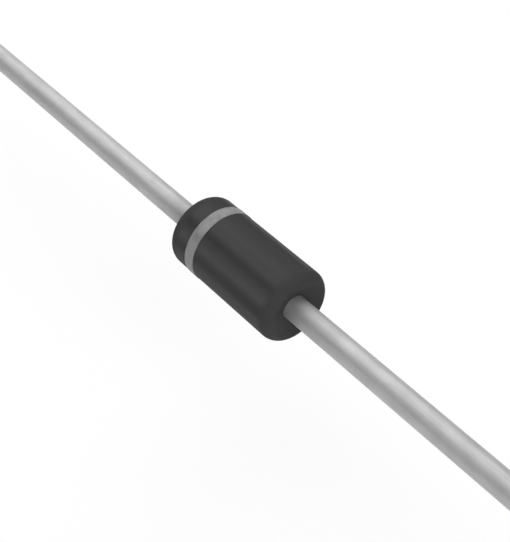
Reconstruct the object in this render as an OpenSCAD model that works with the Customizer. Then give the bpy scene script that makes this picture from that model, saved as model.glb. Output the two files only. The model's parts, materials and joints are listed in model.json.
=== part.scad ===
// Axial-lead zener diode: a moulded body on two headed wires with the chip soldered between them.
// The origin is the middle of the body. The axis runs along X, with the anode lead towards +X.

/* [Moulded body] */
// Diameter of the body
body_d = 2.6; // [2.2:0.05:3.2]
// Length of the body, from the crest of one end rim to the crest of the other
body_len = 5.02; // [4.2:0.02:6.5]
// Radius of the round between the body's side and its end rim
end_round = 0.44; // [0.35:0.01:0.6]
// Distance from the body's side to the crest of the end rim
rim_inset = 0.25; // [0.2:0.01:0.32]
// Radius of the round over the crest of the end rim
crest_round = 0.12; // [0.08:0.01:0.16]
// Depth of the dish round each lead, below the crest of the rim
dish_depth = 0.23; // [0.16:0.01:0.3]

/* [Cathode band] */
// Width of the band
band_w = 0.42; // [0.2:0.01:0.8]
// Distance from the cathode end of the body to the band
band_inset = 0.92; // [0.6:0.01:1.4]
// Thickness of the band's ink
band_t = 0.015; // [0.01:0.005:0.04]

/* [Leads] */
// Diameter of the wire outside the body
lead_d = 0.84; // [0.6:0.01:0.9]
// Length of each lead, from the end of the body to the tip
lead_len = 25.4; // [10:0.2:40]
// Chamfer round the cut tip
tip_chamfer = 0.06; // [0.02:0.01:0.15]
// Diameter of the wire's neck where it swells into the head
neck_d = 0.96; // [0.9:0.01:1.1]
// Diameter of the nail head inside the body
head_d = 1.5; // [1.3:0.02:1.9]
// Thickness of the nail head
head_t = 0.36; // [0.25:0.01:0.6]
// Radius of the round on the edge of the nail head
head_round = 0.1; // [0.04:0.01:0.12]

/* [Chip] */
// Side of the square chip
die_side = 0.9; // [0.84:0.02:1.2]
// Thickness of the chip
die_t = 0.24; // [0.15:0.01:0.4]
// Diameter of each solder joint
solder_d = 0.8; // [0.5:0.02:0.88]
// Thickness of each solder joint
solder_t = 0.05; // [0.02:0.005:0.1]

/* [Fits] */
// Gap between the moulding and the pieces that it holds
mould_gap = 0.005; // [0.002:0.001:0.02]

/* [Hidden] */
$fn = 96;

body_r = body_d / 2;
body_end = body_len / 2;
lead_r = lead_d / 2;
lead_tip = body_end + lead_len;

// The stack along the axis: half the chip, the solder, the head
die_face = die_t / 2;
head_face = die_face + solder_t;
head_back = head_face + head_t;

// The end rim: a large round from the side meets a small one over the crest, which laps it by a hair
crest_lap = 0.0001;
crest_touch = crest_round - crest_lap;
crest = [body_r - rim_inset, body_end - crest_round];
round_step = end_round - crest_touch;
round_turn = acos((end_round - rim_inset) / round_step);
side_round = crest - round_step * [cos(round_turn), sin(round_turn)];

// The dish: a slope from the wire that runs up into the round over the crest
dish_root = [lead_r, body_end - dish_depth];
dish_run = crest - dish_root;
dish_slope = atan2(dish_run.y, dish_run.x) + asin(crest_touch / norm(dish_run));
dish_top = crest + crest_touch * [-sin(dish_slope), cos(dish_slope)];
dish_centre = [0, dish_root.y - lead_r * tan(dish_slope)];

// Turns a profile about the body's axis, with its second coordinate running out to the anode end
module turned() {
    rotate([0, 90, 0])
        rotate_extrude()
            children();
}

// The same piece at the cathode end
module at_cathode() {
    mirror([1, 0, 0])
        children();
}

// The half of a disc that lies below a line through its centre
module half_disc(radius, turn) {
    rotate(turn)
        intersection() {
            circle(radius);
            translate([-2 * radius, -2 * radius])
                square([4 * radius, 2 * radius]);
        }
}

// Half of the body's outline, from its middle to one end
module body_outline() {
    polygon([
        [0, 0],
        [body_r, 0],
        [body_r, side_round.y],
        crest,
        dish_top,
        dish_centre
    ]);
    translate(side_round)
        half_disc(end_round, round_turn);
    translate(crest)
        circle(crest_round);
}

// Outline of a nail head with a round edge, grown by a gap
module head_outline(gap) {
    rim = head_d / 2 - head_round;
    edge = head_round + gap;
    translate([0, head_face - gap])
        square([rim, head_t + 2 * gap]);
    translate([0, head_face + head_round])
        square([rim + edge, head_t - 2 * head_round]);
    translate([rim, head_face + head_round])
        circle(edge);
    translate([rim, head_back - head_round])
        circle(edge);
}

// Outline of the wire from its head to its tip, with the slight swell that heading leaves, grown by a gap
module wire_outline(gap) {
    tip_r = lead_r - tip_chamfer;
    polygon([
        [0, head_face],
        [neck_d / 2 + gap, head_face],
        [neck_d / 2 + gap, head_back],
        [lead_r + gap, body_end],
        [lead_r + gap, lead_tip - tip_chamfer],
        [tip_r + gap, lead_tip],
        [0, lead_tip]
    ]);
}

module lead(gap = 0) {
    turned() {
        head_outline(gap);
        wire_outline(gap);
    }
}

module chip(gap = 0) {
    cube([die_t, die_side, die_side] + 2 * gap * [1, 1, 1], center = true);
}

module solder(gap = 0) {
    turned()
        translate([0, die_face])
            square([solder_d / 2 + gap, solder_t]);
}

// What the moulding is formed round
module moulded_in() {
    lead(mould_gap);
    at_cathode() lead(mould_gap);
    chip(mould_gap);
    solder(mould_gap);
    at_cathode() solder(mould_gap);
}

module moulded_body() {
    color([0.25, 0.25, 0.25])
        difference() {
            turned() {
                body_outline();
                mirror([0, 1]) body_outline();
            }
            moulded_in();
        }
}

module cathode_band() {
    color([0.55, 0.55, 0.55])
        at_cathode()
            turned()
                translate([body_r, body_end - band_inset - band_w])
                    square([band_t, band_w]);
}

module cathode_lead() {
    color([0.75, 0.75, 0.75])
        at_cathode() lead();
}

module anode_lead() {
    color([0.75, 0.75, 0.75])
        lead();
}

module silicon_die() {
    color([0.3, 0.32, 0.38])
        chip();
}

module cathode_solder() {
    color([0.62, 0.63, 0.65])
        at_cathode() solder();
}

module anode_solder() {
    color([0.62, 0.63, 0.65])
        solder();
}

moulded_body();
cathode_band();
cathode_lead();
anode_lead();
silicon_die();
cathode_solder();
anode_solder();
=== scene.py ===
# Axial-lead zener diode: moulded body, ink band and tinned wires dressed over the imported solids
import json
import math

import bpy
from mathutils import Matrix, Vector


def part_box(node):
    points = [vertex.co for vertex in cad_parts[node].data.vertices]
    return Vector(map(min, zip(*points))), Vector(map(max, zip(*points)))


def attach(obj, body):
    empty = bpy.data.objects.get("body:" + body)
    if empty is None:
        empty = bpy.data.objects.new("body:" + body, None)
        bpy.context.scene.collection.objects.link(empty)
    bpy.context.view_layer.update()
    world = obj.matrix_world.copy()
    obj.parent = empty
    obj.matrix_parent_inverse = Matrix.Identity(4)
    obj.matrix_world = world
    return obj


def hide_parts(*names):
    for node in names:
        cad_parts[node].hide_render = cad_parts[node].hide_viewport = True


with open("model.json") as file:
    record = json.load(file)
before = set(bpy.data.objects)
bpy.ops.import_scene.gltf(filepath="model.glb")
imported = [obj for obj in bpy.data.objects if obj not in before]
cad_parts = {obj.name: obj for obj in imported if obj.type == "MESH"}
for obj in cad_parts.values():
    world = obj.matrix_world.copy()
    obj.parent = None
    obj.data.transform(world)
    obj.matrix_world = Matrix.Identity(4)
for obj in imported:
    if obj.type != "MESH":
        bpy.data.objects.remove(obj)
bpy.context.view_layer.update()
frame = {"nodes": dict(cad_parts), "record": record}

mm = 0.001  # the sizes below are in millimetres, the scene is in metres
rootBody = "root"  # nothing moves, so one body carries every piece
print("frame loaded, nodes:", ", ".join(sorted(frame["nodes"])))


def newObject(name, data):
    thing = bpy.data.objects.new(name, data)
    bpy.context.scene.collection.objects.link(thing)
    return thing


# Turning: a ring is (place along the axis, radius) or (place, half side, "square")
ringTouch = 1e-7  # rings no further apart than this, in mm, are one


def reversedEnd(rings):
    # the same stretch at the cathode end
    return [(-ring[0], *ring[1:]) for ring in reversed(rings)]


def arcRings(place, radius, bend, start, stop, steps):
    # start and stop are degrees, 0 straight out from the axis and 90 along it
    angles = [math.radians(start + (stop - start) * i / steps) for i in range(steps + 1)]
    return [(place + bend * math.sin(a), radius + bend * math.cos(a)) for a in angles]


def runRings(first, last, steps):
    # a straight run from one ring to another
    return [tuple(f + (t - f) * i / steps for f, t in zip(first, last)) for i in range(steps + 1)]


def sameRing(first, second):
    close = all(abs(a - b) <= ringTouch for a, b in zip(first[:2], second[:2]))
    return close and len(first) == len(second)


def joinRings(*stretches):
    rings = []
    for stretch in stretches:
        for ring in stretch:
            if not rings or not sameRing(ring, rings[-1]):
                rings.append(ring)
    return rings


def ringPoints(ring, segments):
    isSquare = len(ring) > 2
    points = []
    for i in range(segments):
        turn = 2 * math.pi * i / segments
        across, up = math.cos(turn), math.sin(turn)
        radius = ring[1] / max(abs(across), abs(up)) if isSquare else ring[1]
        points.append((ring[0] * mm, radius * across * mm, radius * up * mm))
    return points


def turnPiece(name, rings, look, looped):
    # the outside runs towards the anode end, so that the faces look outwards
    # a looped profile closes on itself, an open one starts and ends on the axis
    segments = look["segments"]
    verts, rows, faces = [], [], []
    for ring in rings:
        points = [(ring[0] * mm, 0, 0)] if ring[1] == 0 else ringPoints(ring, segments)
        rows.append(range(len(verts), len(verts) + len(points)))
        verts.extend(points)
    pairs = list(zip(rows, rows[1:]))
    if looped:
        pairs.append((rows[-1], rows[0]))
    for near, far in pairs:
        for i in range(segments):
            j = (i + 1) % segments
            if len(near) == 1:
                faces.append((near[0], far[j], far[i]))
            elif len(far) == 1:
                faces.append((near[i], near[j], far[0]))
            else:
                faces.append((near[i], near[j], far[j], far[i]))
    mesh = bpy.data.meshes.new(name)
    mesh.from_pydata(verts, [], faces)
    mesh.shade_smooth()
    mesh.set_sharp_from_angle(angle=math.radians(look["sharpAngle"]))
    mesh.validate()
    return newObject(name, mesh)


def dressPiece(piece, node, material):
    piece.data.materials.append(material)
    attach(piece, rootBody)
    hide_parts(node)
    print("dressed", piece.name, "with", len(piece.data.polygons), "faces")


# Finishes
noiseLow, noiseHigh = 0.3, 0.7  # most of a noise lies between these


def newFinish(name):
    finish = bpy.data.materials.new(name)
    finish.use_nodes = True
    tree = finish.node_tree
    return finish, tree, tree.nodes["Principled BSDF"]


def millimetres(tree, stretch=(1, 1, 1), shift=(0, 0, 0)):
    # object coordinates in mm, pulled out along an axis where stretch is under 1
    coords = tree.nodes.new("ShaderNodeTexCoord")
    mapping = tree.nodes.new("ShaderNodeMapping")
    mapping.inputs["Scale"].default_value = [s / mm for s in stretch]
    mapping.inputs["Location"].default_value = shift
    tree.links.new(coords.outputs["Object"], mapping.inputs["Vector"])
    return mapping.outputs["Vector"]


def fromMiddle(tree, place):
    # distance along the axis from the middle of the body, in mm
    parts = tree.nodes.new("ShaderNodeSeparateXYZ")
    tree.links.new(place, parts.inputs["Vector"])
    node = tree.nodes.new("ShaderNodeMath")
    node.operation = "ABSOLUTE"
    tree.links.new(parts.outputs["X"], node.inputs[0])
    return node.outputs["Value"]


def noise(tree, place, perMm, detail):
    node = tree.nodes.new("ShaderNodeTexNoise")
    node.inputs["Scale"].default_value = perMm
    node.inputs["Detail"].default_value = detail
    tree.links.new(place, node.inputs["Vector"])
    return node.outputs["Fac"]


def spread(tree, value, low, high, fromLow=noiseLow, fromHigh=noiseHigh):
    # low where the value is fromLow, high where it is fromHigh
    node = tree.nodes.new("ShaderNodeMapRange")
    limits = {"From Min": fromLow, "From Max": fromHigh, "To Min": low, "To Max": high}
    for key, limit in limits.items():
        node.inputs[key].default_value = limit
    tree.links.new(value, node.inputs["Value"])
    return node.outputs["Result"]


def added(tree, first, second):
    node = tree.nodes.new("ShaderNodeMath")
    node.operation = "ADD"
    tree.links.new(first, node.inputs[0])
    tree.links.new(second, node.inputs[1])
    return node.outputs["Value"]


def blended(tree, share, value, level):
    # the value where share is 0, a plain level where it is 1
    node = tree.nodes.new("ShaderNodeMix")
    tree.links.new(share, node.inputs["Factor"])
    tree.links.new(value, node.inputs["A"])
    node.inputs["B"].default_value = level
    return node.outputs["Result"]


def tint(tree, shader, value, first, last):
    # first and last: (value, colour there)
    ramp = tree.nodes.new("ShaderNodeValToRGB")
    for point, (place, colour) in zip(ramp.color_ramp.elements, (first, last)):
        point.position = place
        point.color = (*colour, 1)
    tree.links.new(value, ramp.inputs["Fac"])
    tree.links.new(ramp.outputs["Color"], shader.inputs["Base Color"])


def relief(tree, shader, height, depthMm):
    bump = tree.nodes.new("ShaderNodeBump")
    bump.inputs["Distance"].default_value = depthMm * mm
    bump.inputs["Strength"].default_value = 1
    tree.links.new(height, bump.inputs["Height"])
    tree.links.new(bump.outputs["Normal"], shader.inputs["Normal"])


# Black moulding compound: satin with fine filler grain, faint painted sheen streaks along the side that
# stand in for the lamps' reflections, duller ends
epoxyLook = {
    "dark": (0.0304, 0.0304, 0.0304),
    "light": (0.0637, 0.0637, 0.0637),
    "darkAt": 0.1,
    "lightAt": 0.9,
    "shine": 0.08,
    "roughLow": 0.60,
    "roughHigh": 0.66,
    "roughEnd": 0.72,
    "endTone": 0.45,
    "endFrom": 2.0,
    "endTo": 2.25,
    "grainPerMm": 34,
    "grainDetail": 2,
    "grainShare": 0.2,
    "grainMm": 0.0012,
    # painted sheen: lighter and darker lengthwise streaks painted into the colour where the lamps'
    # reflections fall
    "paintedSheenPerMm": 1.8,
    "paintedSheenDetail": 1,
    "paintedSheenShare": 0.8,
    "paintedSheenStretch": (0.02, 1, 1),
    "paintedSheenShift": (0, -7.14, 0.26),
}


def blackEpoxy(look):
    finish, tree, shader = newFinish("blackEpoxy")
    place = millimetres(tree)
    ends = spread(tree, fromMiddle(tree, place), 0, 1, look["endFrom"], look["endTo"])
    # painted sheen: lengthwise light and dark streaks painted into the base colour in place of
    # reflections, fading to a plain tone at the ends
    paintedSheenPlace = millimetres(tree, look["paintedSheenStretch"], look["paintedSheenShift"])
    paintedSheenNoise = noise(tree, paintedSheenPlace, look["paintedSheenPerMm"], look["paintedSheenDetail"])
    paintedSheenStreaks = spread(tree, blended(tree, ends, paintedSheenNoise, look["endTone"]), 0, look["paintedSheenShare"])
    grain = noise(tree, place, look["grainPerMm"], look["grainDetail"])
    mixed = added(tree, paintedSheenStreaks, spread(tree, grain, 0, look["grainShare"]))
    tint(tree, shader, mixed, (look["darkAt"], look["dark"]), (look["lightAt"], look["light"]))
    sideRough = spread(tree, mixed, look["roughHigh"], look["roughLow"], 0, 1)
    rough = blended(tree, ends, sideRough, look["roughEnd"])
    tree.links.new(rough, shader.inputs["Roughness"])
    shader.inputs["Specular IOR Level"].default_value = look["shine"]
    relief(tree, shader, grain, look["grainMm"])
    return finish


# Silver-grey marking ink: flat flakes in a binder, a little thin in places
inkLook = {
    "thin": (0.17, 0.17, 0.17),
    "full": (0.25, 0.25, 0.25),
    "thinAt": 0.1,
    "fullAt": 0.6,
    "metal": 0.15,
    "shine": 0.2,
    "roughLow": 0.44,
    "roughHigh": 0.56,
    "coverPerMm": 4,
    "coverDetail": 5,
    "coverShare": 0.6,
    "flakePerMm": 45,
    "flakeDetail": 1,
    "flakeShare": 0.4,
    "flakeMm": 0.0012,
}


def markingInk(look):
    finish, tree, shader = newFinish("markingInk")
    place = millimetres(tree)
    cover = noise(tree, place, look["coverPerMm"], look["coverDetail"])
    flake = noise(tree, place, look["flakePerMm"], look["flakeDetail"])
    covered = spread(tree, cover, 0, look["coverShare"])
    mixed = added(tree, covered, spread(tree, flake, 0, look["flakeShare"]))
    tint(tree, shader, mixed, (look["thinAt"], look["thin"]), (look["fullAt"], look["full"]))
    rough = spread(tree, flake, look["roughLow"], look["roughHigh"])
    tree.links.new(rough, shader.inputs["Roughness"])
    shader.inputs["Metallic"].default_value = look["metal"]
    shader.inputs["Specular IOR Level"].default_value = look["shine"]
    relief(tree, shader, flake, look["flakeMm"])
    return finish


# Matte tin on drawn copper wire: faint draw lines, cloudy plating, and painted shade that darkens the
# stretch by the body
tinLook = {
    "dull": (0.35, 0.35, 0.35),
    "bright": (0.505, 0.505, 0.505),
    "dullAt": 0.1,
    "brightAt": 0.9,
    "metal": 0.65,
    "roughLow": 0.53,
    "roughHigh": 0.63,
    # painted shade by the body: the wire is darker near the body and lifts by the share below further out
    "paintedShadeFrom": 2.8,
    "paintedShadeTo": 4.8,
    "paintedShadeLiftShare": 0.45,
    "linesPerMm": 16,
    "linesDetail": 3,
    "linesShare": 0.275,
    "linesStretch": (0.03, 1, 1),
    "linesMm": 0.0008,
    "cloudPerMm": 2.2,
    "cloudDetail": 4,
    "cloudShare": 0.275,
    "cloudStretch": (0.6, 1, 1),
}


def tinnedWire(look):
    finish, tree, shader = newFinish("tinnedWire")
    linesPlace = millimetres(tree, look["linesStretch"])
    lines = noise(tree, linesPlace, look["linesPerMm"], look["linesDetail"])
    cloudPlace = millimetres(tree, look["cloudStretch"])
    cloud = noise(tree, cloudPlace, look["cloudPerMm"], look["cloudDetail"])
    drawn = spread(tree, lines, 0, look["linesShare"])
    plating = added(tree, drawn, spread(tree, cloud, 0, look["cloudShare"]))
    # painted shade: darker colour on the stretch of wire next to the body, where the body shades it
    along = fromMiddle(tree, millimetres(tree))
    paintedShadeLift = spread(tree, along, 0, look["paintedShadeLiftShare"], look["paintedShadeFrom"], look["paintedShadeTo"])
    mixed = added(tree, plating, paintedShadeLift)
    tint(tree, shader, mixed, (look["dullAt"], look["dull"]), (look["brightAt"], look["bright"]))
    rough = spread(tree, mixed, look["roughHigh"], look["roughLow"], 0, 1)
    tree.links.new(rough, shader.inputs["Roughness"])
    shader.inputs["Metallic"].default_value = look["metal"]
    relief(tree, shader, lines, look["linesMm"])
    return finish


# Places that the pieces share, in mm
def reach(node):
    # furthest place along the axis, and the radius: facets shorten the solids' depth but not their height
    along, _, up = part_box(node)[1]
    return along / mm, up / mm


wireR = frame["record"]["mounts"][0]["dims"]["r_mm"]  # each mount is a wire
bodyEnd, bodyR = reach("moulded_body")
leadTip, headR = reach("anode_lead")
dieFace, dieHalf = reach("silicon_die")
headFace, solderR = reach("anode_solder")


# Leads: round wire with a chamfered tip, swelling to the nail head that the chip sits on
leadLook = {
    "tipChamfer": 0.06,
    "neckRadius": 0.48,
    "headThick": 0.36,
    "headRound": 0.10,
    "discRing": 0.5,  # where a flat end has its inner ring, as a share of the radius
    "wireSteps": 36,
    "neckSteps": 8,
    "headSteps": 6,
    "segments": 128,
    "sharpAngle": 30,
}
headBack = headFace + leadLook["headThick"]
neckTaper = (leadLook["neckRadius"] - wireR) / (bodyEnd - headBack)


def leadRings(look):
    # from the face of the head to the tip
    headRound, headSteps = look["headRound"], look["headSteps"]
    rim = headR - headRound
    tipR = wireR - look["tipChamfer"]
    return joinRings(
        [(headFace, 0), (headFace, rim * look["discRing"])],
        arcRings(headFace + headRound, rim, headRound, -90, 0, headSteps),
        arcRings(headBack - headRound, rim, headRound, 0, 90, headSteps),
        runRings((headBack, look["neckRadius"]), (bodyEnd, wireR), look["neckSteps"]),
        runRings((bodyEnd, wireR), (leadTip - look["tipChamfer"], wireR), look["wireSteps"]),
        [(leadTip, tipR), (leadTip, tipR * look["discRing"]), (leadTip, 0)],
    )


tin = tinnedWire(tinLook)
wireRings = leadRings(leadLook)
anodeLead = turnPiece("anodeLead", wireRings, leadLook, False)
cathodeLead = turnPiece("cathodeLead", reversedEnd(wireRings), leadLook, False)
dressPiece(anodeLead, "anode_lead", tin)
dressPiece(cathodeLead, "cathode_lead", tin)


# Moulded body, as the solid: rounded rims, dished ends and the hollow that holds wires and chip
bodyLook = {
    "endRound": 0.44,
    "rimInset": 0.25,
    "crestRound": 0.12,
    "dishDepth": 0.23,
    "gap": 0.005,
    "sideSteps": 24,
    "roundSteps": 18,
    "crestSteps": 12,
    "dishSteps": 6,
    "segments": 192,
    "sharpAngle": 35,
}


def endRings(look):
    # from the side, over the rim's crest and down the dish to the wire's bore
    crest = (bodyEnd - look["crestRound"], bodyR - look["rimInset"])
    step = look["endRound"] - look["crestRound"]
    turn = math.acos((look["endRound"] - look["rimInset"]) / step)
    side = (crest[0] - step * math.sin(turn), bodyR - look["endRound"])
    dishPlace = bodyEnd - look["dishDepth"]
    rise = crest[0] - dishPlace
    run = crest[1] - wireR
    slope = math.atan2(rise, run) + math.asin(look["crestRound"] / math.hypot(rise, run))
    steep = math.tan(slope)
    # the slope ends where it meets the bore, which widens inwards with the neck
    bore = wireR + look["gap"] + neckTaper * (look["dishDepth"] + wireR * steep)
    root = bore / (1 + neckTaper * steep)
    rootPlace = dishPlace + (root - wireR) * steep
    meet = math.degrees(turn)
    rounds = joinRings(
        arcRings(*side, look["endRound"], 0, meet, look["roundSteps"]),
        arcRings(*crest, look["crestRound"], meet, 90 + math.degrees(slope), look["crestSteps"]),
    )
    return joinRings(rounds, runRings(rounds[-1], (rootPlace, root), look["dishSteps"]))


def hollowRings(look):
    # from the wire's bore at the back of the head to the middle of the chip
    gap = look["gap"]
    headRound, headSteps = leadLook["headRound"], leadLook["headSteps"]
    rim = headR - headRound
    back = headBack + gap
    return joinRings(
        [(back, wireR + gap + neckTaper * (bodyEnd - back))],
        arcRings(headBack - headRound, rim, headRound + gap, 90, 0, headSteps),
        arcRings(headFace + headRound, rim, headRound + gap, 0, -90, headSteps),
        [(headFace - gap, solderR + gap), (dieFace + gap, solderR + gap)],
        [(dieFace + gap, dieHalf + gap, "square")],
    )


def mouldedBody(look):
    end, hollow = endRings(look), hollowRings(look)
    sideEnd = end[0][0]
    side = runRings((-sideEnd, bodyR), (sideEnd, bodyR), look["sideSteps"])
    rings = joinRings(reversedEnd(end), side, end, hollow, reversedEnd(hollow))
    return turnPiece("mouldedBody", rings, look, True)


dressPiece(mouldedBody(bodyLook), "moulded_body", blackEpoxy(epoxyLook))


# Cathode band: a printed ring with soft edges that wander a little
bandLook = {
    "edgeRound": 0.008,
    "wander": 0.008,
    "wanderMiddle": 0.5,
    "ripples": [(3, 0.7, 0.22), (7, 2.1, 0.17), (17, 0, 0.11)],  # waves a turn, start, share
    "edgeLag": 1,  # sets one edge's ripples apart from the other's
    "edgeSteps": 4,
    "faceSteps": 8,
    "segments": 192,
    "sharpAngle": 50,
}


def edgeWander(turn, look):
    ripple = sum(share * math.sin(waves * turn + start) for waves, start, share in look["ripples"])
    return look["wander"] * (look["wanderMiddle"] + ripple)


def cathodeBand(look):
    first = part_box("cathode_band")[0][0] / mm
    last, outer = reach("cathode_band")
    bend = look["edgeRound"]
    rings = joinRings(
        [(first, bodyR)],
        arcRings(first + bend, outer - bend, bend, -90, 0, look["edgeSteps"]),
        runRings((first + bend, outer), (last - bend, outer), look["faceSteps"]),
        arcRings(last - bend, outer - bend, bend, 0, 90, look["edgeSteps"]),
        [(last, bodyR)],
    )
    piece = turnPiece("cathodeBand", rings, look, True)
    middle = (first + last) / 2 * mm
    half = (last - first) / 2 * mm
    for vert in piece.data.vertices:
        turn = math.atan2(vert.co.z, vert.co.y)
        side = 1 if vert.co.x > middle else -1
        share = abs(vert.co.x - middle) / half  # the edges move, the middle stays
        vert.co.x -= side * share * edgeWander(side * (turn + look["edgeLag"]), look) * mm
    return piece


dressPiece(cathodeBand(bandLook), "cathode_band", markingInk(inkLook))


# Chip and its joints keep their solids, with finishes of their own
dieLook = {
    "dark": (0.075, 0.082, 0.105),
    "light": (0.14, 0.15, 0.185),
    "metal": 0.4,
    "roughLow": 0.22,
    "roughHigh": 0.45,
    "sawPerMm": 60,
    "sawDetail": 3,
    "sawStretch": (1, 0.08, 0.08),
    "sawMm": 0.001,
}


def sawnSilicon(look):
    finish, tree, shader = newFinish("sawnSilicon")
    saw = noise(tree, millimetres(tree, look["sawStretch"]), look["sawPerMm"], look["sawDetail"])
    tint(tree, shader, saw, (noiseLow, look["dark"]), (noiseHigh, look["light"]))
    rough = spread(tree, saw, look["roughLow"], look["roughHigh"])
    tree.links.new(rough, shader.inputs["Roughness"])
    shader.inputs["Metallic"].default_value = look["metal"]
    relief(tree, shader, saw, look["sawMm"])
    return finish


solderLook = {
    "dull": (0.36, 0.36, 0.37),
    "bright": (0.52, 0.52, 0.53),
    "metal": 1,
    "roughLow": 0.3,
    "roughHigh": 0.5,
    "cloudPerMm": 9,
    "cloudDetail": 4,
    "cloudMm": 0.002,
}


def dullSolder(look):
    finish, tree, shader = newFinish("dullSolder")
    cloud = noise(tree, millimetres(tree), look["cloudPerMm"], look["cloudDetail"])
    tint(tree, shader, cloud, (noiseLow, look["dull"]), (noiseHigh, look["bright"]))
    rough = spread(tree, cloud, look["roughHigh"], look["roughLow"])
    tree.links.new(rough, shader.inputs["Roughness"])
    shader.inputs["Metallic"].default_value = look["metal"]
    relief(tree, shader, cloud, look["cloudMm"])
    return finish


def refinish(node, finish):
    for slot in frame["nodes"][node].material_slots:
        slot.material = finish
    print("refinished", node)


refinish("silicon_die", sawnSilicon(dieLook))
solder = dullSolder(solderLook)
refinish("cathode_solder", solder)
refinish("anode_solder", solder)


# Camera: above and to the right of the anode end, looking down on the body, in degrees and mm
view = {
    "azimuth": 50.1,
    "elevation": 45.08,
    "distance": 35.033,
    "sideStep": 0.260,
    "upStep": -0.126,
    "lens": 72.27,
    "sensor": 36,
}


def photoCamera(look):
    turn, rise = math.radians(look["azimuth"]), math.radians(look["elevation"])
    level = math.cos(rise)
    back = Vector((math.sin(turn) * level, -math.cos(turn) * level, math.sin(rise)))
    right = Vector((math.cos(turn), math.sin(turn), 0))
    up = back.cross(right)
    data = bpy.data.cameras.new("photoCamera")
    data.lens = look["lens"]
    data.sensor_width = look["sensor"]
    data.clip_start = mm  # the camera stands close
    camera = newObject("photoCamera", data)
    camera.matrix_world = Matrix((right, up, back)).transposed().to_4x4()
    camera.location = (right * look["sideStep"] + up * look["upStep"] + back * look["distance"]) * mm
    bpy.context.scene.camera = camera


photoCamera(view)
print("camera set")


# Floor: white to the eye and in reflections, and still shaded by the diode
floorLook = {
    "drop": 8,
    "half": 3000,
    "colour": (0.84, 0.84, 0.84),
    "rough": 0.9,
    "white": 1.06,
    "whiteShare": 0.6,
}


def floorFinish(look):
    finish, tree, shader = newFinish("paleFloor")
    shader.inputs["Base Color"].default_value = (*look["colour"], 1)
    shader.inputs["Roughness"].default_value = look["rough"]
    shader.inputs["Specular IOR Level"].default_value = 0
    glow = tree.nodes.new("ShaderNodeEmission")
    glow.inputs["Strength"].default_value = look["white"]
    rays = tree.nodes.new("ShaderNodeLightPath").outputs
    seen = added(tree, rays["Is Camera Ray"], rays["Is Glossy Ray"])
    seen = added(tree, seen, rays["Is Transmission Ray"])
    mix = tree.nodes.new("ShaderNodeMixShader")
    tree.links.new(spread(tree, seen, 0, look["whiteShare"], 0, 1), mix.inputs["Fac"])
    tree.links.new(shader.outputs["BSDF"], mix.inputs[1])
    tree.links.new(glow.outputs["Emission"], mix.inputs[2])
    tree.links.new(mix.outputs["Shader"], tree.nodes["Material Output"].inputs["Surface"])
    return finish


def paleFloor(look):
    half, drop = look["half"] * mm, look["drop"] * mm
    corners = [(-half, -half), (half, -half), (half, half), (-half, half)]
    mesh = bpy.data.meshes.new("floor")
    mesh.from_pydata([(x, y, -drop) for x, y in corners], [], [(0, 1, 2, 3)])
    mesh.materials.append(floorFinish(look))
    floor = newObject("floor", mesh)


paleFloor(floorLook)
print("floor laid")


# Studio: soft panels above; tilt leans from overhead to the near side, lean to the cathode end
studio = {
    "room": 0.24,
    "away": 400,
    "panels": [
        {"name": "keyPanel", "tilt": -19, "lean": 29, "wide": 600, "high": 680, "glow": 1.6},
        {"name": "frontPanel", "tilt": 34, "lean": -49, "wide": 260, "high": 450, "glow": 3.0},
    ],
}


def softPanel(panel, away):
    tilt, lean = math.radians(panel["tilt"]), math.radians(panel["lean"])
    upright = math.cos(lean)
    toward = Vector((-math.sin(lean), -math.sin(tilt) * upright, math.cos(tilt) * upright))
    across = Vector((0, math.cos(tilt), math.sin(tilt)))
    along = across.cross(toward)
    data = bpy.data.lights.new(panel["name"], "AREA")
    data.shape = "RECTANGLE"
    data.size = panel["wide"] * mm
    data.size_y = panel["high"] * mm
    data.energy = panel["glow"] * math.pi * data.size * data.size_y  # glow 1 shows as white
    lamp = newObject(panel["name"], data)
    lamp.matrix_world = Matrix((along, across, toward)).transposed().to_4x4()
    lamp.location = toward * away * mm
    lamp.visible_camera = False


def lightStudio(look):
    world = bpy.data.worlds.new("studioRoom")
    world.use_nodes = True
    room = world.node_tree.nodes["Background"]
    room.inputs["Color"].default_value = (1, 1, 1, 1)
    room.inputs["Strength"].default_value = look["room"]
    bpy.context.scene.world = world
    for panel in look["panels"]:
        softPanel(panel, look["away"])


lightStudio(studio)
bpy.context.scene.view_settings.view_transform = "Standard"
print("studio lit")
